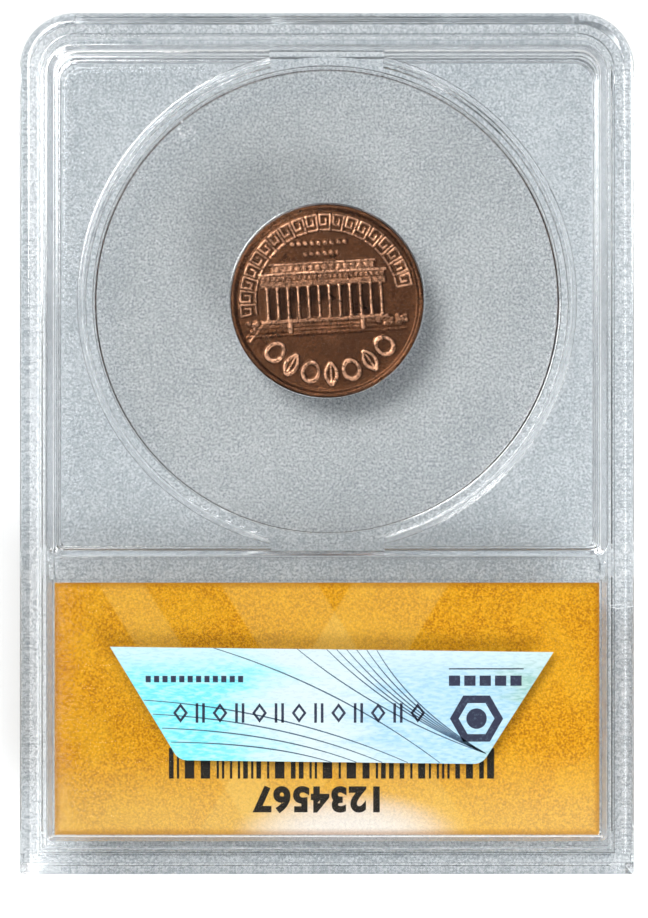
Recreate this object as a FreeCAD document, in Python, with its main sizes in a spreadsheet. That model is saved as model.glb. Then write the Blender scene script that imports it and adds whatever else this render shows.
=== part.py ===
import FreeCAD, Part
import os
import re

import Sketcher

# A sealed coin holder, lying on its front face with its back face up.
#
# Axes: +Z out of the back face, +Y towards the coin end, +X to the right when the back face is
# read with the coin end at the top. The origin is the centre of the base that it rests on.
#
# Two clear moulded shells meet at a parting plane half way up and are welded along a tongue and
# groove. Between them a clear round insert holds the coin by its edge, and a printed card lies
# under the label window. A foil sticker is stuck on the outside of the back shell.
#
# Both shells are drawn with the outer face up and the parting plane at zero height. The back shell
# is lifted into place and the front shell is turned over about the Y axis.

from FreeCAD import Rotation, Vector

# Every driving size, in millimetres, or in degrees where the name ends in turn, tilt or draft.
SIZES = {
    # the holder as a whole
    "slab_width": 60.0,
    "slab_length": 84.0,
    "slab_thick": 8.0,        # over the stacking ridges
    "end_corner": 5.4,        # outline corners at the coin end
    "foot_break": 0.3,        # bevel on the square corners at the label end
    "edge_round": 1.1,        # rounding along the outside edges
    # the raised frame and the bars across it
    "side_rim": 2.8,
    "coin_rim": 3.4,
    "label_rim": 3.3,
    "frame_corner": 2.6,
    "frame_draft": 20.0,
    "crest_round": 0.3,       # rounding where a recess wall meets the frame
    "foot_round": 0.45,       # rounding where a recess wall meets its floor
    "cross_land": 1.05,       # round window to the cross bar
    "cross_rib": 0.45,        # rib between the coin recess and the channel along the cross bar
    "groove_wide": 2.0,       # that channel
    "groove_drop": 1.4,
    "groove_corner": 0.5,
    # the raised round window over the coin
    "window_land": 0.7,       # round window to the frame at the coin end
    "window_drop": 0.7,       # its face below the frame
    "window_wall": 1.4,
    "seat_wall": 0.9,         # round wall that the insert sits in
    "window_draft": 34.0,
    "bridge_wide": 11.2,      # where the round window runs into the frame
    # the two side recesses beside the round window
    "recess_drop": 1.6,
    "recess_wall": 1.2,
    "side_wall": 3.0,         # solid wall inside the frame
    # the label window
    "label_drop": 1.0,
    "label_wall": 1.2,
    "label_corner": 0.6,
    # the weld
    "weld_inset": 1.8,
    "weld_wide": 0.6,
    "weld_rise": 0.45,
    "weld_gap": 0.05,
    "bead_wide": 0.3,         # the ridge on the tongue's crest that the weld melts first
    "bead_rise": 0.15,
    "bead_land": 0.02,
    "weld_stand": 0.03,       # daylight left between the shells beside the tongue
    # stacking ridges on the front and the recesses that take them on the back
    "ridge_rise": 0.5,
    "ridge_inset": 1.3,       # end of the holder to the coin-end ridge
    "ridge_deep": 0.9,
    "ridge_margin": 5.7,      # side of the holder to the end of the coin-end ridge
    "ledge_margin": 1.6,      # side of the holder to the end of the label-end ridge
    "ledge_inset": 0.1,       # end of the holder to the label-end ridge
    "stack_gap": 0.2,
    "stack_corner": 0.6,
    # the insert
    "insert_radius": 22.9,
    "insert_gap": 0.1,
    "insert_play": 0.05,      # between each face and the window above or below it
    "insert_bevel": 0.08,
    # the coin
    "coin_radius": 9.525,
    "coin_thick": 1.52,
    "coin_gap": 0.05,
    "coin_lip": 0.55,         # raised rim
    "coin_sink": 0.2,         # field below the rim
    "coin_turn": 3.4,
    # the label card and the ledge that holds it up to the window
    "card_thick": 0.3,
    "card_gap": 0.3,
    "card_play": 0.02,
    "ledge_wide": 1.0,
    "ledge_gap": 0.1,
    # the foil sticker
    "sticker_long": 43.3,
    "sticker_short": 29.6,
    "sticker_deep": 11.0,
    "sticker_thick": 0.1,
    "sticker_corner": 1.5,
    "sticker_shift": 0.4,     # to the right of the label's middle
    "sticker_lift": 0.4,      # towards the coin from the label's middle
    "sticker_tilt": -0.7,
}

# Places and levels worked out from the sizes, written once. Heights are above the parting plane.
HALF = "(slab_thick - ridge_rise - weld_stand) / 2"
OUTER_FACE = f"({HALF})"
FRONT_PARTING = f"(ridge_rise + {HALF})"
BACK_PARTING = f"({FRONT_PARTING} + weld_stand)"
MIDDLE = f"({FRONT_PARTING} + weld_stand / 2)"
COIN_FACE = f"({HALF} - window_drop)"
COIN_CEILING = f"({HALF} - window_drop - window_wall)"
RECESS_FLOOR = f"({HALF} - recess_drop)"
RECESS_CEILING = f"({HALF} - recess_drop - recess_wall)"
LABEL_FACE = f"({HALF} - label_drop)"
LABEL_CEILING = f"({HALF} - label_drop - label_wall)"
CARD_BASE = f"({LABEL_CEILING} - card_play - card_thick)"
FRAME_SIDE = "(slab_width / 2 - side_rim)"
CAVITY_SIDE = "(slab_width / 2 - side_wall)"
SEAT_RADIUS = "(insert_radius + insert_gap)"
WINDOW_RADIUS = f"({SEAT_RADIUS} + seat_wall)"
COIN_END_Y = "(slab_length / 2 - coin_rim)"
LABEL_END_Y = "(label_rim - slab_length / 2)"
COIN_Y = f"({COIN_END_Y} - window_land - {WINDOW_RADIUS})"
CROSS_Y = f"({COIN_Y} - {WINDOW_RADIUS} - cross_land)"
GROOVE_HIGH_Y = f"({CROSS_Y} - cross_rib)"
GROOVE_LOW_Y = f"({GROOVE_HIGH_Y} - groove_wide)"
LABEL_Y = f"(({GROOVE_LOW_Y} + {LABEL_END_Y}) / 2)"
STACK_DROP = "(ridge_rise + weld_gap)"
OVERLAP = "0.4"  # how far an added block runs into the wall that it joins
NEAR = 1e-4      # two places closer than this are one

doc = FreeCAD.newDocument("CoinSlab")
sheet = doc.addObject("Spreadsheet::Sheet", "Sizes")
for row, (name, size) in enumerate(SIZES.items(), start=1):
    sheet.set(f"A{row}", name)
    sheet.set(f"B{row}", str(size))
    sheet.setAlias(f"B{row}", name)
doc.recompute()


def formula(text):
    """The same formula with every size written as a reference to its cell."""
    return re.sub(r"[a-z_]+", lambda word: f"Sizes.{word[0]}" if word[0] in SIZES else word[0], text)


def number(text):
    """What a formula comes to now, used to draw a sketch before its sizes are bound."""
    return float(sheet.evalExpression(formula(text)))


def bind(target, **formulas):
    """Bind properties of an object to formulas."""
    for name, text in formulas.items():
        target.setExpression(name, formula(text))


def new_body(label):
    """An empty body whose label names its node."""
    body = doc.addObject("PartDesign::Body", label)
    body.Label = label
    return body


def new_sketch(body, name, level="0", centre=("0", "0")):
    """A sketch parallel to the body's XY plane, at a height and a centre given as formulas."""
    sketch = body.newObject("Sketcher::SketchObject", name)
    plane = next(feature for feature in body.Origin.OriginFeatures if feature.Role == "XY_Plane")
    sketch.AttachmentSupport = [(plane, "")]
    sketch.MapMode = "FlatFace"
    for axis, text in zip("xyz", (*centre, level)):
        sketch.setExpression(f"AttachmentOffset.Base.{axis}", formula(text))
    return sketch


def set_distance(sketch, name, text, *constraint):
    """Add a dimension to a sketch and bind it to a formula."""
    index = sketch.addConstraint(Sketcher.Constraint(*constraint, number(text)))
    sketch.renameConstraint(index, name)
    sketch.setExpression(f"Constraints.{name}", formula(text))


def add_circle(sketch, name, radius):
    """A circle about the sketch's origin."""
    circle = sketch.addGeometry(Part.Circle(Vector(), Vector(0, 0, 1), number(radius)))
    sketch.addConstraint(Sketcher.Constraint("Coincident", circle, 3, -1, 1))
    set_distance(sketch, name, radius, "Radius", circle)


def add_rectangle(sketch, name, left, right, low, high, corners=(None, None, None, None)):
    """A rectangle round the sketch's origin.

    left, right, low and high are each side's distance from the origin. corners are the radii at
    low left, low right, high right and high left, with None for a sharp corner.
    """
    x_low, x_high, y_low, y_high = -number(left), number(right), -number(low), number(high)
    places = [Vector(x_low, y_low), Vector(x_high, y_low), Vector(x_high, y_high), Vector(x_low, y_high)]
    radii = [number(corner) if corner else 0.0 for corner in corners]
    steps = [(places[(i + 1) % 4] - places[i]).normalize() for i in range(4)]
    sides = [
        sketch.addGeometry(Part.LineSegment(
            places[i] + steps[i] * radii[i],
            places[(i + 1) % 4] - steps[i] * radii[(i + 1) % 4],
        ))
        for i in range(4)
    ]
    for i, side in enumerate(sides):
        sketch.addConstraint(Sketcher.Constraint("Vertical" if i % 2 else "Horizontal", side))
    for i, corner in enumerate(corners):
        before, after = sides[i - 1], sides[i]
        if not corner:
            sketch.addConstraint(Sketcher.Constraint("Coincident", before, 2, after, 1))
            continue
        middle = places[i] + (steps[i] - steps[i - 1]) * radii[i]
        turn = (270 - 90 + 90 * i) % 360
        arc = sketch.addGeometry(Part.ArcOfCircle(
            Part.Circle(middle, Vector(0, 0, 1), radii[i]),
            FreeCAD.Units.Quantity(turn, "deg").getValueAs("rad").Value,
            FreeCAD.Units.Quantity(turn + 90, "deg").getValueAs("rad").Value,
        ))
        sketch.addConstraint(Sketcher.Constraint("Tangent", before, 2, arc, 1))
        sketch.addConstraint(Sketcher.Constraint("Tangent", arc, 2, after, 1))
        set_distance(sketch, f"{name}_corner_{i}", corner, "Radius", arc)
    set_distance(sketch, f"{name}_left", left, "DistanceX", sides[3], 1, -1, 1)
    set_distance(sketch, f"{name}_right", right, "DistanceX", -1, 1, sides[1], 1)
    set_distance(sketch, f"{name}_low", low, "DistanceY", sides[0], 1, -1, 1)
    set_distance(sketch, f"{name}_high", high, "DistanceY", -1, 1, sides[2], 1)


def span(body, name, level, side, low_y, high_y, corners=(None, None, None, None)):
    """A sketch of one rectangle, side wide each way from the middle line, from low_y to high_y."""
    sketch = new_sketch(body, name, level, ("0", f"({low_y} + {high_y}) / 2"))
    reach = f"({high_y} - {low_y}) / 2"
    add_rectangle(sketch, "block", side, side, reach, reach, corners)
    return sketch


def extrude(kind, body, sketch, length, upwards, draft=None):
    """A Pad or a Pocket of a sketch, up or down by a length, narrowing by draft on the way."""
    feature = body.newObject(f"PartDesign::{kind}", f"{sketch.Name}_{kind}")
    feature.Profile = sketch
    feature.Reversed = upwards == (kind == "Pocket")
    bind(feature, Length=length)
    if draft:
        bind(feature, TaperAngle=f"-{draft}")
    doc.recompute()
    return feature


def pad(body, sketch, length, upwards=True, draft=None):
    """Material added over a sketch."""
    return extrude("Pad", body, sketch, length, upwards, draft)


def pocket(body, sketch, length, upwards=False, draft=None):
    """Material taken away under a sketch."""
    return extrude("Pocket", body, sketch, length, upwards, draft)


def round_edges(body, feature, kind, size_name, size, wanted):
    """A Fillet or Chamfer on the edges of a feature that wanted accepts."""
    names = [f"Edge{i}" for i, edge in enumerate(feature.Shape.Edges, start=1) if wanted(edge)]
    dressed = body.newObject(f"PartDesign::{kind}", f"{feature.Name}_{kind}")
    dressed.Base = (feature, names)
    bind(dressed, **{size_name: size})
    doc.recompute()
    return dressed


def level_with(edge, height):
    """Whether an edge lies flat at a height."""
    return abs(edge.BoundBox.ZMin - height) < NEAR and abs(edge.BoundBox.ZMax - height) < NEAR


def is_arc(edge, radius):
    """Whether an edge is a circle or an arc of a radius."""
    return hasattr(edge.Curve, "Radius") and abs(edge.Curve.Radius - radius) < NEAR


def add_outline(body):
    """The shell's block, rounded along its outside edges and bevelled at the label end's corners."""
    sketch = new_sketch(body, f"{body.Name}_outline")
    add_rectangle(
        sketch, "outline", "slab_width / 2", "slab_width / 2", "slab_length / 2", "slab_length / 2",
        (None, None, "end_corner", "end_corner"),
    )
    block = pad(body, sketch, OUTER_FACE)
    top, foot = number(OUTER_FACE), -number("slab_length / 2")
    round_edges(
        body, block, "Fillet", "Radius", "edge_round",
        lambda edge: edge.BoundBox.ZMin > top - NEAR and edge.BoundBox.YMax > foot + NEAR,
    )
    for side, sign in (("left", "-"), ("right", "")):
        sketch = new_sketch(
            body, f"{body.Name}_{side}_foot", OUTER_FACE, (f"{sign}slab_width / 2", "-slab_length / 2")
        )
        points = [Vector(-1, 0), Vector(0, -1), Vector(1, 0), Vector(0, 1)]
        lines = [
            sketch.addGeometry(Part.LineSegment(
                points[i] * number("foot_break"), points[(i + 1) % 4] * number("foot_break")
            ))
            for i in range(4)
        ]
        for i in range(4):
            sketch.addConstraint(Sketcher.Constraint("Coincident", lines[i - 1], 2, lines[i], 1))
            sketch.addConstraint(Sketcher.Constraint("PointOnObject", lines[i], 1, -1 - i % 2))
        set_distance(sketch, "west", "foot_break", "DistanceX", lines[0], 1, -1, 1)
        set_distance(sketch, "south", "foot_break", "DistanceY", lines[1], 1, -1, 1)
        set_distance(sketch, "east", "foot_break", "DistanceX", -1, 1, lines[2], 1)
        set_distance(sketch, "north", "foot_break", "DistanceY", -1, 1, lines[3], 1)
        pocket(body, sketch, OUTER_FACE)


def add_outer_face(body):
    """The recesses that leave the frame, the cross bar and the raised round window standing."""
    corners = ("frame_corner / 2", "frame_corner / 2", "frame_corner", "frame_corner")
    sketch = span(body, f"{body.Name}_coin_recess", OUTER_FACE, FRAME_SIDE, CROSS_Y, COIN_END_Y, corners)
    recess = pocket(body, sketch, "recess_drop", draft="frame_draft")
    floor, crest = number(RECESS_FLOOR), number(OUTER_FACE)
    side, end = number(FRAME_SIDE), number(COIN_END_Y)
    recess = round_edges(
        body, recess, "Fillet", "Radius", "foot_round", lambda edge: level_with(edge, floor)
    )
    round_edges(
        body, recess, "Fillet", "Radius", "crest_round",
        lambda edge: level_with(edge, crest) and edge.BoundBox.XMax < side + NEAR
        and edge.BoundBox.YMax < end + NEAR,
    )

    rise = "recess_drop - window_drop"
    sketch = span(
        body, f"{body.Name}_bridge", RECESS_FLOOR, "bridge_wide / 2",
        f"({CROSS_Y} - {OVERLAP})", f"({COIN_END_Y} + {OVERLAP})",
    )
    pad(body, sketch, rise)

    sketch = new_sketch(body, f"{body.Name}_round_window", RECESS_FLOOR, ("0", COIN_Y))
    add_circle(sketch, "foot", f"{WINDOW_RADIUS} + ({rise}) * tan(window_draft)")
    window = pad(body, sketch, rise, draft="window_draft")
    face, radius = number(COIN_FACE), number(WINDOW_RADIUS)
    round_edges(
        body, window, "Fillet", "Radius", "crest_round",
        lambda edge: level_with(edge, face) and is_arc(edge, radius),
    )

    sketch = span(
        body, f"{body.Name}_groove", OUTER_FACE, FRAME_SIDE, GROOVE_LOW_Y, GROOVE_HIGH_Y,
        ("groove_corner",) * 4,
    )
    pocket(body, sketch, "groove_drop")

    # The label recess runs into the channel, which leaves one step between the two floors.
    sketch = span(
        body, f"{body.Name}_label_recess", OUTER_FACE, FRAME_SIDE,
        LABEL_END_Y, f"({GROOVE_LOW_Y} + groove_wide / 2)", ("label_corner",) * 4,
    )
    pocket(body, sketch, "label_drop", draft="frame_draft")


def add_cavities(body):
    """The hollows behind the windows, with the round wall that the insert sits in."""
    corners = ("frame_corner / 2", "frame_corner / 2", "frame_corner", "frame_corner")
    sketch = span(body, f"{body.Name}_coin_cavity", "0", CAVITY_SIDE, GROOVE_HIGH_Y, COIN_END_Y, corners)
    pocket(body, sketch, RECESS_CEILING, upwards=True)

    sketch = new_sketch(body, f"{body.Name}_seat_wall", "0", ("0", COIN_Y))
    add_circle(sketch, "outside", WINDOW_RADIUS)
    pad(body, sketch, f"{RECESS_CEILING} + {OVERLAP}")

    sketch = new_sketch(body, f"{body.Name}_seat", "0", ("0", COIN_Y))
    add_circle(sketch, "bore", SEAT_RADIUS)
    pocket(body, sketch, COIN_CEILING, upwards=True)

    sketch = span(body, f"{body.Name}_label_cavity", "0", CAVITY_SIDE, LABEL_END_Y, GROOVE_LOW_Y)
    pocket(body, sketch, LABEL_CEILING, upwards=True)


def add_weld_band(body, name, level, grow, wide="weld_wide"):
    """The sketch of a band that runs round both shells, centred on the weld, wide + 2 * grow across."""
    sketch = new_sketch(body, f"{body.Name}_{name}", level)
    middle = "weld_inset + weld_wide / 2"
    for edge, inset in (
        ("outside", f"{middle} - {wide} / 2 - {grow}"), ("inside", f"{middle} + {wide} / 2 + {grow}"),
    ):
        add_rectangle(
            sketch, edge, f"slab_width / 2 - ({inset})", f"slab_width / 2 - ({inset})",
            f"slab_length / 2 - ({inset})", f"slab_length / 2 - ({inset})",
            (None, None, f"end_corner - ({inset})", f"end_corner - ({inset})"),
        )
    return sketch


def build_back_shell():
    """The upper shell: weld groove inside, stacking recesses outside."""
    body = new_body("back_shell")
    add_outline(body)
    add_outer_face(body)
    add_cavities(body)
    # The shells meet where the groove's ceiling comes down on the bead along the tongue's crest.
    band = add_weld_band(body, "weld_groove", "0", "weld_gap")
    pocket(body, band, "weld_rise + bead_rise - weld_stand", upwards=True)

    end = "slab_length / 2"
    sketch = span(
        body, "coin_end_recess", OUTER_FACE, "slab_width / 2 - ridge_margin + stack_gap",
        f"({end} - ridge_inset - ridge_deep - stack_gap)", f"({end} + {OVERLAP})",
        ("stack_corner", "stack_corner", None, None),
    )
    pocket(body, sketch, STACK_DROP)
    sketch = span(
        body, "label_end_ledge", OUTER_FACE, f"slab_width / 2 + {OVERLAP}",
        f"(-{end} - {OVERLAP})", f"(-{end} + ledge_inset + ridge_deep + stack_gap)",
    )
    pocket(body, sketch, STACK_DROP)
    bind(body, **{"Placement.Base.z": BACK_PARTING})
    return body


def build_front_shell():
    """The lower shell: weld tongue and card ledge inside, stacking ridges outside."""
    body = new_body("front_shell")
    add_outline(body)
    add_outer_face(body)
    add_cavities(body)

    sketch = add_weld_band(body, "weld_tongue", "-weld_rise", "0")
    pad(body, sketch, f"weld_rise + {OVERLAP}")
    sketch = add_weld_band(body, "weld_bead", "-weld_rise - bead_rise", "0", "bead_wide")
    bead = pad(body, sketch, f"bead_rise + {OVERLAP} / 2")
    crest = -number("weld_rise + bead_rise")
    round_edges(
        body, bead, "Chamfer", "Size", "(bead_wide - bead_land) / 2", lambda edge: level_with(edge, crest)
    )

    reach = f"({GROOVE_LOW_Y} - {LABEL_END_Y}) / 2 - ledge_gap"
    side = f"{CAVITY_SIDE} - ledge_gap"
    sketch = new_sketch(body, "card_ledge", f"-({CARD_BASE} + weld_stand)", ("0", LABEL_Y))
    add_rectangle(sketch, "outside", side, side, reach, reach)
    add_rectangle(
        sketch, "inside", f"{side} - ledge_wide", f"{side} - ledge_wide",
        f"{reach} - ledge_wide", f"{reach} - ledge_wide",
    )
    pad(body, sketch, f"{CARD_BASE} + weld_stand + {LABEL_CEILING} + {OVERLAP}")

    end = "slab_length / 2"
    ridges = (
        (
            "coin_end_ridge", "ridge_margin", f"({end} - ridge_inset - ridge_deep)",
            f"({end} - ridge_inset)",
        ),
        (
            "label_end_ridge", "ledge_margin", f"(-{end} + ledge_inset)",
            f"(-{end} + ledge_inset + ridge_deep)",
        ),
    )
    for name, margin, low_y, high_y in ridges:
        sketch = span(
            body, name, f"{OUTER_FACE} - {OVERLAP}", f"slab_width / 2 - {margin}", low_y, high_y,
            ("ridge_deep / 3",) * 4,
        )
        pad(body, sketch, f"ridge_rise + {OVERLAP}")
    body.Placement.Rotation = Rotation(Vector(0, 1, 0), 180)
    bind(body, **{"Placement.Base.z": FRONT_PARTING})
    return body


def build_insert():
    """The clear disc between the windows, with a hole that grips the coin by its edge."""
    body = new_body("coin_insert")
    sketch = new_sketch(body, "insert_disc")
    add_circle(sketch, "outside", "insert_radius")
    add_circle(sketch, "hole", "coin_radius + coin_gap")
    disc = pad(body, sketch, f"2 * {COIN_CEILING} + weld_stand - 2 * insert_play")
    round_edges(body, disc, "Chamfer", "Size", "insert_bevel", lambda edge: len(edge.Vertexes) == 1)
    bind(body, **{
        "Placement.Base.y": COIN_Y,
        "Placement.Base.z": f"{FRONT_PARTING} - {COIN_CEILING} + insert_play",
    })
    return body


def build_coin():
    """The struck disc with a raised rim on both faces, half way up the insert."""
    body = new_body("coin")
    sketch = new_sketch(body, "blank")
    add_circle(sketch, "edge", "coin_radius")
    pad(body, sketch, "coin_thick")
    for face, level, upwards in (("back", "coin_thick", False), ("front", "0", True)):
        sketch = new_sketch(body, f"{face}_field", level)
        add_circle(sketch, "field", "coin_radius - coin_lip")
        pocket(body, sketch, "coin_sink", upwards=upwards, draft="window_draft")
    bind(body, **{
        "Placement.Base.y": COIN_Y,
        "Placement.Base.z": f"{MIDDLE} - coin_thick / 2",
        "Placement.Rotation.Angle": "coin_turn",
    })
    return body


def build_card():
    """The printed card, held up to the back window by the front shell's ledge."""
    body = new_body("label_card")
    sketch = span(
        body, "card_outline", "0", f"{CAVITY_SIDE} - card_gap",
        f"({LABEL_END_Y} + card_gap)", f"({GROOVE_LOW_Y} - card_gap)",
    )
    pad(body, sketch, "card_thick")
    bind(body, **{"Placement.Base.z": f"{BACK_PARTING} + {CARD_BASE}"})
    return body


def build_sticker():
    """The foil sticker: a trapezium with its long side towards the coin and two round corners."""
    body = new_body("hologram_sticker")
    sketch = new_sketch(body, "sticker_outline")
    high, low = number("sticker_deep / 2"), -number("sticker_deep / 2")
    points = [
        Vector(-number("sticker_short / 2"), low), Vector(number("sticker_short / 2"), low),
        Vector(number("sticker_long / 2"), high), Vector(-number("sticker_long / 2"), high),
    ]
    lines = [sketch.addGeometry(Part.LineSegment(points[i], points[(i + 1) % 4])) for i in range(4)]
    for i in range(4):
        sketch.addConstraint(Sketcher.Constraint("Coincident", lines[i - 1], 2, lines[i], 1))
    sketch.addConstraint(Sketcher.Constraint("Horizontal", lines[0]))
    sketch.addConstraint(Sketcher.Constraint("Horizontal", lines[2]))
    for name, size, line, sign in (("short", "sticker_short", 0, 1), ("long", "sticker_long", 2, -1)):
        ends = ((lines[line], 1), (-1, 1), (lines[line], 2))[::sign]
        set_distance(sketch, f"{name}_left", f"{size} / 2", "DistanceX", *ends[0], *ends[1])
        set_distance(sketch, f"{name}_right", f"{size} / 2", "DistanceX", *ends[1], *ends[2])
    set_distance(sketch, "low", "sticker_deep / 2", "DistanceY", lines[0], 1, -1, 1)
    set_distance(sketch, "high", "sticker_deep / 2", "DistanceY", -1, 1, lines[2], 1)
    foil = pad(body, sketch, "sticker_thick")
    round_edges(
        body, foil, "Fillet", "Radius", "sticker_corner",
        lambda edge: edge.BoundBox.ZLength > NEAR and edge.BoundBox.YMax < low + NEAR,
    )
    bind(body, **{
        "Placement.Base.x": "sticker_shift",
        "Placement.Base.y": f"{LABEL_Y} + sticker_lift",
        "Placement.Base.z": f"{BACK_PARTING} + {LABEL_FACE}",
        "Placement.Rotation.Angle": "sticker_tilt",
    })
    return body


def check(bodies):
    """Stop at a failed object, an empty or broken shape, or a feature that changed nothing."""
    for item in doc.Objects:
        if {"Invalid", "Error"} & set(item.State):
            raise RuntimeError(f"{item.Name} failed: {item.State}")
        base = getattr(item, "BaseFeature", None)
        if base is None or not hasattr(item, "Profile"):
            continue
        change = item.Shape.Volume - base.Shape.Volume
        wrong = change > -1e-3 if item.TypeId.endswith("Pocket") else change < 1e-3
        if wrong:
            raise RuntimeError(f"{item.Name} changes the volume by {change:.4f}")
    for body in bodies:
        if body.Shape.isNull() or not body.Shape.isValid():
            raise RuntimeError(f"{body.Label} has a broken shape")
        if len(body.Shape.Solids) != 1:
            raise RuntimeError(f"{body.Label} is {len(body.Shape.Solids)} solids")


def main():
    """Build every piece, check it and write it out."""
    builders = (build_front_shell, build_back_shell, build_insert, build_coin, build_card, build_sticker)
    bodies = [builder() for builder in builders]
    doc.recompute()
    check(bodies)
    os.makedirs("parts", exist_ok=True)
    for body in bodies:
        body.Shape.exportStep(f"parts/{body.Label}.step")
        box = body.Shape.BoundBox
        print(
            f"{body.Label}: {body.Shape.Volume:.1f} mm3, x {box.XMin:.3f} {box.XMax:.3f}, "
            f"y {box.YMin:.3f} {box.YMax:.3f}, z {box.ZMin:.3f} {box.ZMax:.3f}"
        )


main()
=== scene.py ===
"""The looks of a graded coin slab: clear shells and insert, a struck copper coin, a card and a foil seal.

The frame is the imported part's: the origin is at the middle of the base, +Z runs out of the face with the
foil seal, and +Y runs towards the coin end. The slab's own shapes are worked out in millimetres and become
metres in new_piece, and the studio round it is in metres.
"""

import logging
import math
from collections.abc import Callable
from dataclasses import dataclass, field
from enum import Enum

import bpy
import numpy as np
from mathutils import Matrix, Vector


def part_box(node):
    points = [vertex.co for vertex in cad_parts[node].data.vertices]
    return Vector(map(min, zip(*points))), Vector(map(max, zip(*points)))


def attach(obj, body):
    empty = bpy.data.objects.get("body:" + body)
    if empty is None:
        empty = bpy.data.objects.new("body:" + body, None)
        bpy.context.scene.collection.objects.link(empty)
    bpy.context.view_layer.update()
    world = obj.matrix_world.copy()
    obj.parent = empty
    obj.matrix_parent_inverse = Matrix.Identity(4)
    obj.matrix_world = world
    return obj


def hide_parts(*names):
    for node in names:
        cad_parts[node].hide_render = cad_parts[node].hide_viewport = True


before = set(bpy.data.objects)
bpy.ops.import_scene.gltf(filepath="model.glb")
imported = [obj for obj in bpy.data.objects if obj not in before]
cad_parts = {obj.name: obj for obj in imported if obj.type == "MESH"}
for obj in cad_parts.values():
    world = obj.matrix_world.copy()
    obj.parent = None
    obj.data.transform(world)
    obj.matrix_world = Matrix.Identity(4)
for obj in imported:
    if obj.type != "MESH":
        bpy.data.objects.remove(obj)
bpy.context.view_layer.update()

LOG = logging.getLogger("coin_slab")
MM = 0.001

Colour = tuple[float, float, float]
Point = tuple[float, float]
Place = tuple[float, float, float]
Box = tuple[float, float, float, float]
Bend = tuple[Point, Point, Point]
Socket = bpy.types.NodeSocket
Mesh = tuple[np.ndarray, np.ndarray]
Field = Callable[[np.ndarray, np.ndarray], np.ndarray]


class Body(Enum):
    """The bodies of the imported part."""

    HOLDER = "holder"
    COIN = "coin"


class Slot(Enum):
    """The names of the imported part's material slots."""

    SHELL = "clear_shell"
    COPPER = "coin_copper"
    PAPER = "label_paper"
    FOIL = "sticker_foil"


# ---------------------------------------------------------------- numpy shapes


def soft_step(distance: np.ndarray, width: float) -> np.ndarray:
    """Zero below, one above, with a cubic slope of the given width centred on zero distance."""
    t = np.clip(distance / width + 0.5, 0.0, 1.0)
    return t * t * (3.0 - 2.0 * t)


def soft_box(x: np.ndarray, y: np.ndarray, corners: Box, width: float) -> np.ndarray:
    """One inside a rectangle and zero outside: the product of four soft steps, one from each side.

    Args:
        x: Places across.
        y: Places up.
        corners: Left, right, low and high side.
        width: How wide the slope at each side is.

    Returns:
        The share of full height at each place.
    """
    left, right, low, high = corners
    return (
        soft_step(x - left, width)
        * soft_step(right - x, width)
        * soft_step(y - low, width)
        * soft_step(high - y, width)
    )


def from_stroke(x: np.ndarray, y: np.ndarray, path: tuple[Point, ...]) -> np.ndarray:
    """The distance from each place to a line of straight strokes: the least of the distances to each stroke.

    Args:
        x: Places across.
        y: Places up.
        path: The corners that the line runs through.

    Returns:
        The distance at each place.
    """
    nearest = np.full(np.broadcast(x, y).shape, 1e9)
    for (ax, ay), (bx, by) in zip(path[:-1], path[1:]):
        dx, dy = bx - ax, by - ay
        along = np.clip(((x - ax) * dx + (y - ay) * dy) / (dx * dx + dy * dy), 0.0, 1.0)
        nearest = np.minimum(nearest, np.hypot(x - ax - along * dx, y - ay - along * dy))
    return nearest


def square_disc(cells: int) -> tuple[np.ndarray, np.ndarray]:
    """A disc of radius one on a square grid: square rings become circles, and each side a quarter turn.

    Args:
        cells: The number of cells along one side.

    Returns:
        The across and up places, each as a (cells + 1, cells + 1) array.
    """
    line = np.linspace(-1.0, 1.0, cells + 1)
    a, b = np.meshgrid(line, line, indexing="ij")
    wide = np.abs(a) > np.abs(b)
    reach = np.where(wide, a, b)
    safe = np.where(reach == 0.0, 1.0, reach)
    turn = np.where(wide, math.pi / 4 * b / safe, math.pi / 2 - math.pi / 4 * a / safe)
    return reach * np.cos(turn), reach * np.sin(turn)


def grid_faces(rows: int, columns: int, first: int = 0, flip: bool = False) -> np.ndarray:
    """The four-sided faces of a grid of points that is stored row by row.

    Args:
        rows: Points along the first index.
        columns: Points along the second index.
        first: The number of the grid's first point.
        flip: Whether the faces look the other way.

    Returns:
        A (faces, 4) array of point numbers.
    """
    i, j = np.meshgrid(np.arange(rows - 1), np.arange(columns - 1), indexing="ij")
    corner = (first + i * columns + j).ravel()
    faces = np.stack([corner, corner + columns, corner + columns + 1, corner + 1], axis=1)
    return faces[:, ::-1] if flip else faces


def rim_walk(cells: int) -> np.ndarray:
    """The point numbers round a square grid's border, from the corner at minus 45 degrees, anticlockwise.

    Args:
        cells: The number of cells along one side.

    Returns:
        The point numbers in order, each once.
    """
    side, width = np.arange(cells), cells + 1
    back = cells - side
    return np.concatenate([cells * width + side, back * width + cells, back, side * width])


def plates(boxes: np.ndarray, low: float, high: float) -> Mesh:
    """Thin closed slabs, one on each rectangle.

    Args:
        boxes: A (number, 4) array of left, right, low and high sides.
        low: The height of the undersides.
        high: The height of the tops.

    Returns:
        The points, and their four-sided faces.
    """
    x = boxes[:, [0, 1, 1, 0, 0, 1, 1, 0]]
    y = boxes[:, [2, 2, 3, 3, 2, 2, 3, 3]]
    z = np.broadcast_to(np.array([low] * 4 + [high] * 4), x.shape)
    sides = np.array([[3, 2, 1, 0], [4, 5, 6, 7], [0, 1, 5, 4], [1, 2, 6, 5], [2, 3, 7, 6], [3, 0, 4, 7]])
    faces = (np.arange(len(boxes))[:, None, None] * 8 + sides).reshape(-1, 4)
    return np.stack([x, y, z], axis=-1).reshape(-1, 3), faces


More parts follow.
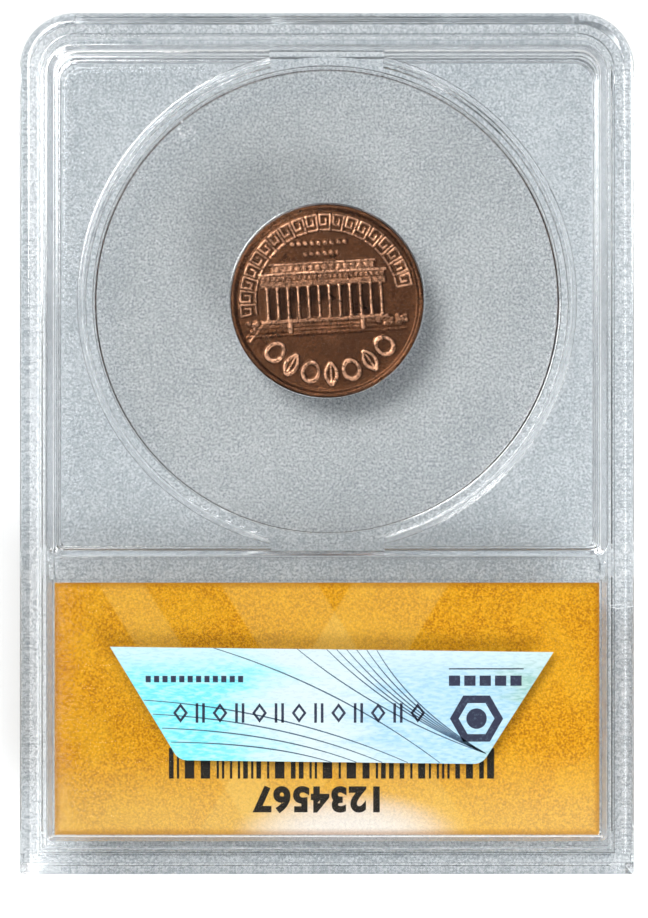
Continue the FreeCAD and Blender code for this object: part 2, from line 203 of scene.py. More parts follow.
def ribbon(line: np.ndarray, width: np.ndarray, low: float, high: float) -> Mesh:
    """A flat strip: a rectangle carried along a line, square to its direction, with both ends closed.

    Args:
        line: A (stations, 2) array of places.
        width: The strip's width at each station.
        low: The height of its underside.
        high: The height of its top.

    Returns:
        The points, and their four-sided faces.
    """
    along = np.gradient(line, axis=0)
    along /= np.linalg.norm(along, axis=1, keepdims=True)
    side = np.stack([along[:, 1], -along[:, 0]], axis=1) * (width[:, None] / 2)
    right, left = line + side, line - side
    count = len(line)
    around = np.stack([left, right, right, left], axis=1)
    heights = np.broadcast_to(np.array([low, low, high, high])[None, :, None], (count, 4, 1))
    points = np.concatenate([around, heights], axis=2).reshape(-1, 3)
    station = np.arange(count - 1)[:, None] * 4
    corner = np.arange(4)[None, :]
    after = (corner + 1) % 4
    walls = np.stack([station + corner, station + after, station + 4 + after, station + 4 + corner], axis=2)
    last = 4 * (count - 1)
    ends = np.array([[3, 2, 1, 0], [last, last + 1, last + 2, last + 3]])
    return points, np.concatenate([walls.reshape(-1, 4), ends])[:, ::-1]


def bent(start: np.ndarray, lean: np.ndarray, end: np.ndarray, count: int) -> np.ndarray:
    """A curve between two points that leans towards a third: the quadratic Bezier curve, at equal steps."""
    t = np.linspace(0.0, 1.0, count)[:, None]
    return (1 - t) ** 2 * start + 2 * t * (1 - t) * lean + t * t * end


def prism(outline: np.ndarray, hole: np.ndarray, low: float, high: float) -> Mesh:
    """A flat ring between an outline and a hole of as many points.

    Args:
        outline: An (n, 2) array of places, anticlockwise.
        hole: The same for the hole.
        low: The height of its underside.
        high: The height of its top.

    Returns:
        The points, and their four-sided faces.
    """
    n = len(outline)
    rings = [(outline, low), (outline, high), (hole, high), (hole, low)]
    points = np.concatenate([np.column_stack([ring, np.full(n, z)]) for ring, z in rings])
    k = np.arange(n)
    after = (k + 1) % n
    bands = [(0, 1), (1, 2), (2, 3), (3, 0)]
    faces = [np.stack([a * n + k, a * n + after, b * n + after, b * n + k], axis=1) for a, b in bands]
    return points, np.concatenate(faces)


def patch(outline: np.ndarray, low: float, high: float) -> Mesh:
    """A flat patch without a hole: its wall, and a fan about its middle above and below.

    Args:
        outline: An (n, 2) array of places, anticlockwise.
        low: The height of its underside.
        high: The height of its top.

    Returns:
        The points, and their three-sided faces.
    """
    n = len(outline)
    rings = [np.column_stack([outline, np.full(n, z)]) for z in (low, high)]
    middles = [[*outline.mean(0), z] for z in (low, high)]
    k = np.arange(n)
    after = (k + 1) % n
    under, over = np.full(n, 2 * n), np.full(n, 2 * n + 1)
    sides = [(k, after, n + after), (k, n + after, n + k), (n + k, n + after, over), (after, k, under)]
    return np.concatenate([*rings, middles]), np.concatenate([np.stack(side, axis=1) for side in sides])


def polygon(middle: Point, radius: float, corners: int, turn: float = 0.0) -> np.ndarray:
    """The corners of a regular polygon, anticlockwise from the given turn in degrees."""
    angle = math.radians(turn) + np.arange(corners) * 2 * math.pi / corners
    return np.stack([middle[0] + radius * np.cos(angle), middle[1] + radius * np.sin(angle)], axis=1)


def joined(parts: list[Mesh]) -> tuple[np.ndarray, list[np.ndarray]]:
    """Several meshes as one: their points in a row, and their faces counted on.

    Args:
        parts: The points and faces of each mesh.

    Returns:
        All the points, and an array of faces for each mesh.
    """
    points, faces, first = [], [], 0
    for own_points, own_faces in parts:
        points.append(own_points)
        faces.append(own_faces + first)
        first += len(own_points)
    return np.concatenate(points), faces


def new_piece(
    name: str, points: np.ndarray, faces: list[np.ndarray], finish: bpy.types.Material, smooth: bool = False
) -> bpy.types.Object:
    """Makes a piece from whole arrays. Its object is at the origin, and its place is in its mesh.

    Args:
        name: The piece's name.
        points: An (n, 3) array of places in millimetres.
        faces: Arrays of point numbers, each with one number of corners.
        finish: Its material.
        smooth: Whether its faces are shaded as one curved surface.

    Returns:
        The new object.
    """
    mesh = bpy.data.meshes.new(name)
    corners = np.concatenate([f.ravel() for f in faces]).astype(np.int32)
    sizes = np.concatenate([np.full(len(f), f.shape[1]) for f in faces])
    starts = (np.cumsum(sizes) - sizes).astype(np.int32)
    mesh.vertices.add(len(points))
    mesh.vertices.foreach_set("co", (points * MM).astype(np.float32).ravel())
    mesh.loops.add(len(corners))
    mesh.loops.foreach_set("vertex_index", corners)
    mesh.polygons.add(len(sizes))
    mesh.polygons.foreach_set("loop_start", starts)
    mesh.polygons.foreach_set("use_smooth", np.full(len(sizes), smooth))
    mesh.update(calc_edges=True)
    mesh.materials.append(finish)
    piece = bpy.data.objects.new(name, mesh)
    bpy.context.scene.collection.objects.link(piece)
    return piece


def placed(piece: bpy.types.Object, body: Body) -> None:
    """Sets a piece to ride on a body, and reports it.

    Args:
        piece: The new piece.
        body: The body that it moves with.
    """
    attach(piece, body.value)
    LOG.info("%s: %d faces, rides on %s", piece.name, len(piece.data.polygons), body.value)


# ---------------------------------------------------------------- finishes


class Wiring:
    """One material, and a short way to add nodes to it."""

    def __init__(self, name: str) -> None:
        """Starts an empty material with its output node.

        Args:
            name: The material's name.
        """
        self.material = bpy.data.materials.new(name)
        self.material.use_nodes = True
        self.tree = self.material.node_tree
        self.tree.nodes.clear()
        self.output = self.node("ShaderNodeOutputMaterial")
        self.place = self.node("ShaderNodeTexCoord").outputs["Object"]

    def across_and_up(self) -> tuple[Socket, Socket]:
        """The object's own across and up places in millimetres."""
        parts = self.node("ShaderNodeSeparateXYZ", {0: self.place}).outputs
        return self.math("DIVIDE", parts[0], MM), self.math("DIVIDE", parts[1], MM)

    def node(self, kind: str, inputs: dict | None = None, **settings) -> bpy.types.Node:
        """Adds a node.

        Args:
            kind: The node's type.
            inputs: A value or a socket for each input, by its name or number.
            **settings: The node's own properties.

        Returns:
            The node.
        """
        made = self.tree.nodes.new(kind)
        for name, value in settings.items():
            setattr(made, name, value)
        for name, value in (inputs or {}).items():
            if isinstance(value, Socket):
                self.tree.links.new(value, made.inputs[name])
            else:
                made.inputs[name].default_value = value
        return made

    def math(self, operation: str, *values: object) -> Socket:
        """The result of one sum on sockets and numbers."""
        return self.node("ShaderNodeMath", dict(enumerate(values)), operation=operation).outputs[0]

    def mixed(self, share: object, first: object, second: object) -> Socket:
        """A colour between two colours, by a share from 0 to 1.

        Args:
            share: The second colour's share, a number or a socket.
            first: A colour or a socket.
            second: The same for the other end.

        Returns:
            The mixed colour.
        """
        colours = [c if isinstance(c, Socket) else (*c, 1.0) for c in (first, second)]
        inputs = {0: share, 6: colours[0], 7: colours[1]}
        return self.node("ShaderNodeMix", inputs, data_type="RGBA").outputs[2]

    def ranged(self, value: Socket, low: float, high: float, to: Point = (0.0, 1.0)) -> Socket:
        """A value from low to high carried smoothly to the range given, and held at its ends."""
        inputs = {0: value, 1: low, 2: high, 3: to[0], 4: to[1]}
        return self.node("ShaderNodeMapRange", inputs, interpolation_type="SMOOTHSTEP").outputs[0]

    def stretched(self, scale: Place, turn: float) -> Socket:
        """Object places turned about Z by some degrees and stretched."""
        inputs = {"Vector": self.place, "Rotation": (0.0, 0.0, math.radians(turn)), "Scale": scale}
        return self.node("ShaderNodeMapping", inputs).outputs[0]

    def cloud(self, size: float, detail: float, vector: Socket | None = None) -> Socket:
        """Cloudy noise from 0 to 1, with spots of about that size in millimetres."""
        inputs = {"Vector": vector or self.place, "Scale": 1.0 / (size * MM), "Detail": detail}
        return self.node("ShaderNodeTexNoise", inputs).outputs["Fac"]

    def bump(self, height: Socket, depth: float, normal: Socket | None = None) -> Socket:
        """A normal from a height between 0 and 1, as deep as that many millimetres.

        Args:
            height: The height.
            depth: How deep full height is.
            normal: The normal that it is laid over, if any.

        Returns:
            The new normal.
        """
        inputs = {"Height": height, "Distance": depth * MM, "Strength": 1.0}
        if normal is not None:
            inputs["Normal"] = normal
        return self.node("ShaderNodeBump", inputs).outputs[0]

    def surface(self, shader: bpy.types.Node) -> bpy.types.Material:
        """Ends the material with a shader."""
        self.tree.links.new(shader.outputs[0], self.output.inputs["Surface"])
        return self.material


@dataclass(frozen=True)
class ClearPlastic:
    """Moulded clear styrene. Lamps shine through it, less at each face, so that what it holds is lit.

    Sizes are in millimetres. A pair is where a noise or the slant of the surface begins and ends to tell.
    """

    name: str
    tint: Colour
    cloudy: Colour
    # edge is painted shade: the base colour of faces seen at a slant, darker as if they reflected darker
    # surroundings.
    edge: Colour
    shade: Colour
    edge_shade: Colour
    ior: float = 1.58
    roughness: float = 0.0
    grain: float = 0.24
    grain_depth: float = 0.0006
    frost: Point = (0.49, 0.63)
    swirl: float = 9.0
    swirl_depth: float = 0.004
    swirl_share: float = 0.10
    hairs: Point = (0.64, 0.70)
    hair_stretch: Place = (0.05, 4.0, 1.0)
    steep: Point = (0.25, 0.85)
    steep_blend: float = 0.35
    spot_shade: float = 0.985
    turn: float = 25.0

    def build(self) -> bpy.types.Material:
        """Makes the material: tinted glass with a fine grain, slow moulding swirls and hairline scuffs, and
        painted shade on steep faces.

        Returns:
            The material.
        """
        w = Wiring(self.name)
        fine = w.cloud(self.grain, 4.0)
        broad = w.cloud(self.swirl, 2.0)
        spots = w.ranged(w.math("ADD", fine, w.math("MULTIPLY", broad, self.swirl_share)), *self.frost)
        scuffs = w.ranged(w.cloud(1.0, 2.0, w.stretched(self.hair_stretch, self.turn)), *self.hairs)
        swirls = w.bump(broad, self.swirl_depth)
        grains = w.bump(fine, self.grain_depth, swirls)
        normal = w.bump(scuffs, self.grain_depth * 2.0, grains)
        # Painted shade: steep faces take the darker edge colour by how slanted they are to the view.
        facing = w.node("ShaderNodeLayerWeight", {"Blend": self.steep_blend}).outputs["Facing"]
        steep = w.ranged(facing, *self.steep)
        glass = w.node(
            "ShaderNodeBsdfPrincipled",
            {
                "Base Color": w.mixed(steep, w.mixed(spots, self.tint, self.cloudy), self.edge),
                "Roughness": self.roughness,
                "IOR": self.ior,
                "Transmission Weight": 1.0,
                "Normal": normal,
            },
        )
        spotted = tuple(c * self.spot_shade for c in self.shade)
        passed = w.mixed(steep, w.mixed(spots, self.shade, spotted), self.edge_shade)
        open_way = w.node("ShaderNodeBsdfTransparent", {"Color": passed}).outputs[0]
        rays = w.node("ShaderNodeLightPath").outputs
        lit = w.node("ShaderNodeMixShader", {0: rays["Is Diffuse Ray"], 1: glass.outputs[0], 2: open_way})
        seen = w.node("ShaderNodeMixShader", {0: rays["Is Shadow Ray"], 1: lit.outputs[0], 2: open_way})
        return w.surface(seen)


@dataclass(frozen=True)
class StruckCopper:
    """Worn bronze-coloured copper: brown in the hollows, redder and brighter on the high parts, and painted
    shade in the hollows' colour behind the hall's columns.
    """

    hollow_and_painted_shade: Colour = (0.012, 0.005, 0.003)
    field: Colour = (0.104, 0.041, 0.018)
    high: Colour = (0.67, 0.36, 0.22)
    dull: Colour = (0.030, 0.013, 0.007)
    warm: Colour = (0.19, 0.078, 0.037)
    roughness: float = 0.27

    def build(self) -> bpy.types.Material:
        """Makes the material from the struck height and the painted shade behind the hall's columns, which the
        mesh keeps as one attribute from 0 to 1.

        Returns:
            The material.
        """
        w = Wiring("struck_copper")
        # The attribute holds each place's rub, with the painted shade behind the hall's columns as no rub.
        height = w.node("ShaderNodeAttribute", attribute_name="rub_and_painted_shade").outputs["Fac"]
        blotch = w.cloud(2.2, 4.0)
        grain = w.cloud(0.12, 5.0)
        toned = w.mixed(w.ranged(height, 0.0, 0.22), self.hollow_and_painted_shade, self.field)
        lifted = w.mixed(w.ranged(height, 0.42, 0.95), toned, self.high)
        mottled = w.mixed(w.ranged(blotch, 0.42, 0.62, (0.0, 0.55)), lifted, self.dull)
        warmed = w.mixed(w.ranged(w.cloud(3.5, 3.0), 0.52, 0.72, (0.0, 0.4)), mottled, self.warm)
        speckled = w.mixed(w.ranged(w.cloud(0.3, 4.0), 0.48, 0.62, (0.0, 0.8)), warmed, self.dull)
        specks = w.ranged(grain, 0.5, 0.7, (0.0, 0.5))
        bright_specks = w.math("MULTIPLY", specks, w.ranged(height, 0.05, 0.7, (0.12, 1.0)))
        colour = w.mixed(bright_specks, speckled, self.high)
        metal = w.node(
            "ShaderNodeBsdfPrincipled",
            {
                "Base Color": colour,
                "Metallic": 1.0,
                "Roughness": w.ranged(blotch, 0.3, 0.7, (self.roughness, self.roughness + 0.14)),
                "Normal": w.bump(grain, 0.03),
            },
        )
        return w.surface(metal)


@dataclass(frozen=True)
class CardPaper:
    """Golden printed card with faint crossing facets, painted light at the foot and browner edges."""

    gold: Colour = (0.735, 0.325, 0.002)
    light: Colour = (0.82, 0.445, 0.022)
    brown: Colour = (0.32, 0.108, 0.001)
    facet: Colour = (0.82, 0.50, 0.10)
    # pale and the colour after it are painted light at the card's foot.
    pale: Colour = (0.86, 0.83, 0.79)
    painted_foot_light: Colour = (0.82, 0.58, 0.20)
    facet_lean: float = 0.62
    facet_share: float = 0.32
    left_facets: tuple[Point, Point] = ((-19.0, -9.5), (-31.0, -26.5))
    right_facet: Point = (11.0, 20.5)
    painted_light_middle: Point = (2.0, -38.6)
    painted_light_reach: Point = (10.5, 4.2)
    middle_y: float = -26.05
    half_wide: float = 26.7
    half_tall: float = 12.35

    def build(self) -> bpy.types.Material:
        """Makes the material. A facet is the band where a leaning sum of across and up is in range.

        Returns:
            The material.
        """
        w = Wiring("card_paper")
        x, y = w.across_and_up()
        leaning = w.math("ADD", x, w.math("MULTIPLY", y, self.facet_lean))
        other = w.math("SUBTRACT", x, w.math("MULTIPLY", y, self.facet_lean))
        first = self.band(w, leaning, *self.left_facets[0])
        second = self.band(w, other, *self.right_facet)
        third = self.band(w, leaning, *self.left_facets[1])
        facets = w.math("ADD", w.math("ADD", first, second), third)
        mottle = w.cloud(0.19, 5.0)
        wash = w.cloud(5.0, 3.0)
        browned = w.mixed(w.ranged(mottle, 0.34, 0.58), self.brown, self.gold)
        base = w.mixed(0.8, self.gold, browned)
        washed = w.mixed(w.ranged(wash, 0.38, 0.7, (0.0, 0.35)), base, self.light)
        washed = w.mixed(w.ranged(mottle, 0.52, 0.66, (0.0, 0.6)), washed, self.light)
        faceted = w.mixed(w.math("MULTIPLY", facets, self.facet_share), washed, self.facet)
        # Painted light: paler towards the foot.
        faceted = w.mixed(w.ranged(y, -38.0, -29.0, (0.42, 0.0)), faceted, self.painted_foot_light)
        # Painted light: a pale patch at the middle of the foot.
        across = w.math("DIVIDE", w.math("SUBTRACT", x, self.painted_light_middle[0]), self.painted_light_reach[0])
        down = w.math("DIVIDE", w.math("SUBTRACT", y, self.painted_light_middle[1]), self.painted_light_reach[1])
        far = w.math("ADD", w.math("MULTIPLY", across, across), w.math("MULTIPLY", down, down))
        with_painted_light = w.mixed(w.ranged(far, 0.0, 1.3, (0.86, 0.0)), faceted, self.pale)
        edge_x = w.math("SUBTRACT", self.half_wide, w.math("ABSOLUTE", x))
        off_middle = w.math("ABSOLUTE", w.math("SUBTRACT", y, self.middle_y))
        edge_y = w.math("SUBTRACT", self.half_tall, off_middle)
        edge = w.ranged(w.math("MINIMUM", edge_x, edge_y), 0.05, 0.75, (0.55, 0.0))
        colour = w.mixed(edge, with_painted_light, self.brown)
        card = w.node(
            "ShaderNodeBsdfPrincipled",
            {
                "Base Color": colour,
                "Roughness": 0.55,
                "Specular IOR Level": 0.15,
                "Normal": w.bump(w.cloud(0.15, 4.0), 0.008),
            },
        )
        return w.surface(card)

    @staticmethod
    def band(w: Wiring, value: Socket, low: float, high: float) -> Socket:
        """One between two values and zero outside them, with short slopes."""
        begins = w.ranged(value, low - 0.2, low + 0.2)
        return w.math("MULTIPLY", begins, w.ranged(value, high + 0.2, high - 0.2))


@dataclass(frozen=True)
class SealFoil:
    """Thin diffracting foil, partly its own colours and partly painted sheen: from aqua on one side to lilac
    and mint on the other, with a pale edge.
    """

    aqua: Colour = (0.19, 0.77, 0.87)
    white: Colour = (0.64, 0.78, 0.82)
    lilac: Colour = (0.39, 0.64, 0.82)
    mint: Colour = (0.33, 0.56, 0.52)
    to_white: Point = (-13.0, -2.0)
    to_lilac: Point = (0.0, 9.0)
    to_mint: Point = (15.0, 21.0)
    streak_turn: float = 28.0
    streak_shift: float = 22.0

    def build(self) -> bpy.types.Material:
        """Makes the material: a ramp of hues along the strip, painted diffraction sheen, broken up by slanting
        streaks.

        Returns:
            The material.
        """
        w = Wiring("seal_foil")
        x, y = w.across_and_up()
        streaks = w.cloud(3.0, 3.0, w.stretched((0.35, 1.6, 1.0), self.streak_turn))
        shift = w.math("MULTIPLY", w.math("SUBTRACT", streaks, 0.5), self.streak_shift)
        along = w.math("ADD", x, shift)
        # The ramp is partly the foil's own colours and partly painted sheen: its diffracted colours fixed in
        # place.
        hue = w.mixed(w.ranged(along, *self.to_white), self.aqua, self.white)
        hue = w.mixed(w.ranged(along, *self.to_lilac), hue, self.lilac)
        hue = w.mixed(w.ranged(along, *self.to_mint), hue, self.mint)
        fine = w.cloud(0.5, 5.0, w.stretched((0.6, 2.0, 1.0), self.streak_turn))
        hue = w.mixed(w.ranged(fine, 0.4, 0.75, (0.0, 0.6)), hue, self.white)
        hue = w.mixed(w.ranged(y, -23.5, -20.2, (0.0, 0.75)), hue, self.white)
        foil = w.node(
            "ShaderNodeBsdfPrincipled",
            {
                "Base Color": hue,
                "Metallic": 0.06,
                "Roughness": w.ranged(fine, 0.3, 0.7, (0.22, 0.4)),
                "Coat Weight": 0.5,
                "Coat Roughness": 0.08,
                "Normal": w.bump(w.cloud(1.4, 3.0), 0.02),
            },
        )
        return w.surface(foil)


@dataclass(frozen=True)
class Ink:
    """Printed ink or stress-whitened plastic: one colour, broken up a little by the surface under it."""

    name: str
    dark: Colour
    pale: Colour
    roughness: float = 0.45

    def build(self) -> bpy.types.Material:
        """Makes the material.

        Returns:
            The material.
        """
        w = Wiring(self.name)
        worn = w.cloud(0.25, 4.0)
        colour = w.mixed(w.ranged(worn, 0.5, 0.8, (0.0, 0.6)), self.dark, self.pale)
        ink = w.node(
            "ShaderNodeBsdfPrincipled",
            {
                "Base Color": colour,
                "Roughness": self.roughness,
                "Specular IOR Level": 0.12,
                "Normal": w.bump(worn, 0.003),
            },
        )
        return w.surface(ink)


@dataclass(frozen=True)
class FloorPaint:
    """The plain pale floor."""

    colour: Colour = (0.93, 0.935, 0.94)

    def build(self) -> bpy.types.Material:
        """Makes the material.

        Returns:
            The material.
        """
        w = Wiring("floor_paint")
        colour = w.mixed(w.cloud(3.0, 4.0), self.colour, tuple(c * 0.985 for c in self.colour))
        return w.surface(w.node("ShaderNodeBsdfPrincipled", {"Base Color": colour, "Roughness": 0.8}))


# ---------------------------------------------------------------- sub-assemblies


@dataclass
class ClearCase:
    """The two welded shells and the insert that holds the coin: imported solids, each with its clear finish."""

    # Each edge colour is painted shade on that solid's steep faces.
    back: ClearPlastic = ClearPlastic(
        "clear_back",
        tint=(0.99, 0.993, 0.996),
        cloudy=(0.88, 0.895, 0.91),
        edge=(0.82, 0.84, 0.86),
        shade=(0.985, 0.988, 0.99),
        edge_shade=(0.88, 0.89, 0.90),
        roughness=0.05,
    )
    front: ClearPlastic = ClearPlastic(
        "clear_front",
        tint=(0.925, 0.945, 0.958),
        cloudy=(0.565, 0.605, 0.630),
        edge=(0.76, 0.78, 0.80),
        shade=(0.905, 0.920, 0.930),
        edge_shade=(0.82, 0.83, 0.85),
        roughness=0.05,
        turn=-20.0,
    )
    insert: ClearPlastic = ClearPlastic(
        "clear_insert",
        tint=(1.0, 0.992, 0.984),
        cloudy=(0.92, 0.91, 0.90),
        edge=(0.99, 0.99, 0.99),
        shade=(0.998, 0.992, 0.986),
        edge_shade=(0.96, 0.96, 0.96),
        turn=-50.0,
    )

    def build(self) -> None:
        """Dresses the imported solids."""
        finishes = {"front_shell": self.front, "back_shell": self.back, "coin_insert": self.insert}
        for node, finish in finishes.items():
            dress(node, finish.build())


def dress(node: str, finish: bpy.types.Material) -> None:
    """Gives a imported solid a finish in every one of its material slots.

    Args:
        node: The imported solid's name.
        finish: Its new material.
    """
    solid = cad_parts[node]
    for slot in solid.material_slots:
        slot.material = finish
    LOG.info("%s: %d faces, dressed as %s", node, len(solid.data.polygons), finish.name)


@dataclass
class Temple:
    """The flat-roofed hall on the coin's seal-side face. Sizes are in millimetres from the coin's middle."""

    columns: int = 12
    first_column: float = -5.85
    column_step: float = 1.02
    column_width: float = 0.34
    foot: float = -1.6
    head: float = 1.6
    slope: float = 0.12
    column_rise: float = 0.130
    path: tuple[Point, Point] = ((-6.1, -1.7), (-7.8, -3.6))

    @property
    def last_column(self) -> float:
        """The place across of the last column's middle."""
        return self.first_column + self.column_step * (self.columns - 1)

    @property
    def ends(self) -> Point:
        """The places across of the frieze's two ends, a little past the outer columns."""
        return self.first_column - 0.55, self.last_column + 0.45

    def painted_shade(self, x: np.ndarray, y: np.ndarray) -> np.ndarray:
        """Where shade is painted on the field behind the columns: a soft rectangle from the first column to the
        last.
        """
        return soft_box(x, y, (self.first_column, self.last_column, self.foot, self.head), 0.3)

    def blocks(self) -> dict[str, tuple[float, Box]]:
        """The hall's straight blocks: how high each stands over the field, and its sides."""
        left, right = self.ends
        return {
            "beam": (0.085, (left - 0.1, right + 0.1, 1.55, 2.15)),
            "frieze": (0.065, (left, right, 2.1, 2.8)),
            "cornice": (0.115, (left - 0.25, right + 0.25, 2.72, 3.02)),
            "upper_wall": (0.075, (left + 1.1, right - 0.95, 2.95, 3.75)),
            "roof_edge": (0.105, (left + 0.95, right - 0.8, 3.68, 3.95)),
            "base": (0.090, (left - 0.15, right + 0.15, -2.0, -1.58)),
            "terrace": (0.060, (left - 0.7, right + 0.6, -2.42, -2.0)),
            "lower_terrace": (0.040, (left - 1.3, right + 1.1, -2.85, -2.42)),
            "ground_line": (0.055, (left - 1.6, right + 1.9, -3.2, -2.98)),
            "left_pier": (0.110, (-3.95, -3.5, -3.0, -1.5)),
            "right_pier": (0.110, (3.2, 3.65, -3.0, -1.5)),
        }

    def columns_height(self, x: np.ndarray, y: np.ndarray) -> np.ndarray:
        """The share of full height of the row of columns: half round shafts, wider at foot and head.

        Args:
            x: Places across.
            y: Places up.

        Returns:
            The share of full height at each place.
        """
        shaft = np.zeros_like(x)
        for k in range(self.columns):
            middle = self.first_column + k * self.column_step
            half = self.column_width / 2
            across = np.clip(1.0 - ((x - middle) / half) ** 2, 0.0, 1.0)
            capital = 1.0 + 0.35 * soft_step(np.abs(y - self.foot / 2 - self.head / 2) - 1.42, 0.15)
            cap = np.clip(1.0 - ((x - middle) / (half * capital)) ** 2, 0.0, 1.0)
            shaft = np.maximum(shaft, np.sqrt(np.maximum(across, cap)))
        return shaft * (soft_step(y - self.foot, self.slope) * soft_step(self.head - y, self.slope))

    def height(self, x: np.ndarray, y: np.ndarray) -> np.ndarray:
        """The hall's height over the field: the highest of its parts at each place.

        Args:
            x: Places across.
            y: Places up.

        Returns:
            The height at each place.
        """
        left, right = self.ends
        parts = [rise * soft_box(x, y, sides, self.slope) for rise, sides in self.blocks().values()]
        parts.append(self.column_rise * self.columns_height(x, y))
        steps = soft_box(x, y, (-3.4, 3.1, -2.95, -1.6), self.slope)
        parts.append(0.075 * steps * (0.75 + 0.25 * np.cos(y * 19.0)))
        parts.append(0.070 * soft_step(0.11 - from_stroke(x, y, self.path), self.slope))
        dentils = 0.025 * soft_box(x, y, (left, right, 2.25, 2.65), 0.1)
        dentils *= 0.5 + 0.5 * np.cos(x * 2 * math.pi / 0.51)
        swags = 0.025 * soft_box(x, y, (left + 1.2, right - 1.0, 3.1, 3.6), 0.1)
        swags *= 0.5 + 0.5 * np.cos(x * 9.3)
        return np.maximum.reduce(parts) + dentils + swags


@dataclass
class StruckCoin:
    """The copper coin: a struck face on each side of a plain edge. Sizes are in millimetres."""

    turn: float = 3.4
    rim_inside: float = 9.02
    rim_height: float = 0.24
    rim_slope: float = 0.3
    dish_rise: float = 0.03
    edge_round: float = 0.16
    full_rub: float = 0.15
    field_rub: float = 0.14
    rim_rub: float = 0.30
    edge_rub: float = 0.22
    upper_cells: int = 240
    lower_cells: int = 180
    key_span: Point = (97.0, 278.0)
    keys: int = 19
    key_middle: float = 7.78
    key_size: Point = (0.98, 1.5)
    key_stroke: float = 0.24
    block_span: Point = (213.0, 327.0)
    blocks: int = 7
    block_middle: float = 7.15
    block_stroke: float = 0.38
    temple: Temple = field(default_factory=Temple)

    def build(self) -> None:
        """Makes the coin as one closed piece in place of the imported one."""
        low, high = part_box("coin")
        middle = (low + high) / 2 / MM
        radius = (high.x - low.x) / 2 / MM
        top, bottom = high.z / MM, low.z / MM
        flat = radius - self.edge_round
        upper, upper_tone = self.face(self.upper_cells, flat, self.upper_height, self.temple.painted_shade)
        lower, lower_tone = self.face(self.lower_cells, flat, self.lower_height, self.no_painted_shade)
        upper[:, 2] = top - self.rim_height + upper[:, 2]
        lower[:, 2] = bottom + self.rim_height - lower[:, 2]
        edge, rings = self.edge_rings(radius, top, bottom)
        points = np.concatenate([upper, edge, lower])
        points[:, :2] = points[:, :2] @ self.turned() + np.array([middle.x, middle.y])
        first_lower = len(upper) + len(edge)
        side, lower_side = self.upper_cells + 1, self.lower_cells + 1
        faces = [
            grid_faces(side, side),
            grid_faces(lower_side, lower_side, first_lower, flip=True),
            self.edge_faces(rings, len(upper)),
            self.stitch(len(upper) + (rings - 1) * 4 * self.upper_cells, first_lower),
        ]
        piece = new_piece("coin_struck", points, faces, StruckCopper().build(), smooth=True)
        # Each point's rub, with the painted shade behind the hall's columns, goes into the mesh as an
        # attribute.
        tone = np.concatenate([upper_tone, np.full(len(edge), self.edge_rub), lower_tone]).astype(np.float32)
        piece.data.attributes.new("rub_and_painted_shade", "FLOAT", "POINT").data.foreach_set("value", tone)
        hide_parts("coin")
        placed(piece, Body.COIN)

    @staticmethod
    def no_painted_shade(x: np.ndarray, y: np.ndarray) -> np.ndarray:
        """No painted shade at any place."""
        return np.zeros(np.broadcast(x, y).shape)

    def turned(self) -> np.ndarray:
        """The matrix that turns rows of places by the coin's own turn, anticlockwise."""
        angle = math.radians(self.turn)
        return np.array([[math.cos(angle), math.sin(angle)], [-math.sin(angle), math.cos(angle)]])

    def face(
        self, cells: int, flat: float, height: Field, painted_shade: Field
    ) -> tuple[np.ndarray, np.ndarray]:
        """One struck face: a square grid pressed into a disc, raised by a height at each place.

        Args:
            cells: Cells along the grid's side.
            flat: The disc's radius.
            height: The function of across and up places that gives the height.
            painted_shade: The same for the share of painted shade.

        Returns:
            The points, and how rubbed each is.
        """
        x, y = square_disc(cells)
        x, y = (x * flat).ravel(), (y * flat).ravel()
        z = height(x, y)
        return np.stack([x, y, z], axis=1), self.tone(z, np.hypot(x, y), painted_shade(x, y))

    def tone(self, z: np.ndarray, r: np.ndarray, painted_shade: np.ndarray) -> np.ndarray:
        """How rubbed each place is, from 0 to 1: by its height inside the rim, and little on the rim itself,
        with painted shade where the field's rub is taken away.

        Args:
            z: The height.
            r: The distance from the middle.
            painted_shade: The share of painted shade, which takes away the field's own rub.

        Returns:
            The rub at each place.
        """
        # Painted shade: behind the hall's columns the field loses its rub and takes the dark hollow colour.
        rubbed = np.clip(np.maximum(z / self.full_rub, self.field_rub * (1.0 - painted_shade)), 0.0, 1.0)
        return rubbed + (self.rim_rub - rubbed) * soft_step(r - self.rim_inside + 0.05, 0.2)

    def rim(self, r: np.ndarray) -> np.ndarray:
        """The raised rim and the slight dish inside it, by the distance from the middle.

        Args:
            r: The distance from the middle at each place.

        Returns:
            The height at each place.
        """
        raised = soft_step(r - self.rim_inside, self.rim_slope)
        dish = self.dish_rise * np.clip(r / self.rim_inside, 0, 1) ** 3
        return self.rim_height * raised + dish * (r < self.rim_inside + self.rim_slope / 2) * (1 - raised)

    def upper_height(self, x: np.ndarray, y: np.ndarray) -> np.ndarray:
        """The seal-side face: hall, shrubs, two bead rows, a key border above and a bolder border below.

        Args:
            x: Places across.
            y: Places up.

        Returns:
            The height at each place.
        """
        r, angle = np.hypot(x, y), np.degrees(np.arctan2(y, x)) % 360.0
        keys = self.key_border(r, (angle + 90.0) % 360.0)
        blocks = self.block_border(r, angle)
        upper_beads = self.bead_row(x, y, (-3.4, 2.4), 5.75, 0.50)
        beads = np.maximum(upper_beads, self.bead_row(x, y, (-2.2, 1.4), 4.72, 0.50))
        hall = self.temple.height(x, y)
        shrubs = self.shrubs(x, y)
        struck = np.maximum.reduce([0.098 * keys, 0.130 * blocks, 0.090 * beads, hall, shrubs])
        return np.minimum(self.rim(r) + struck * (r < self.rim_inside), self.rim_height)

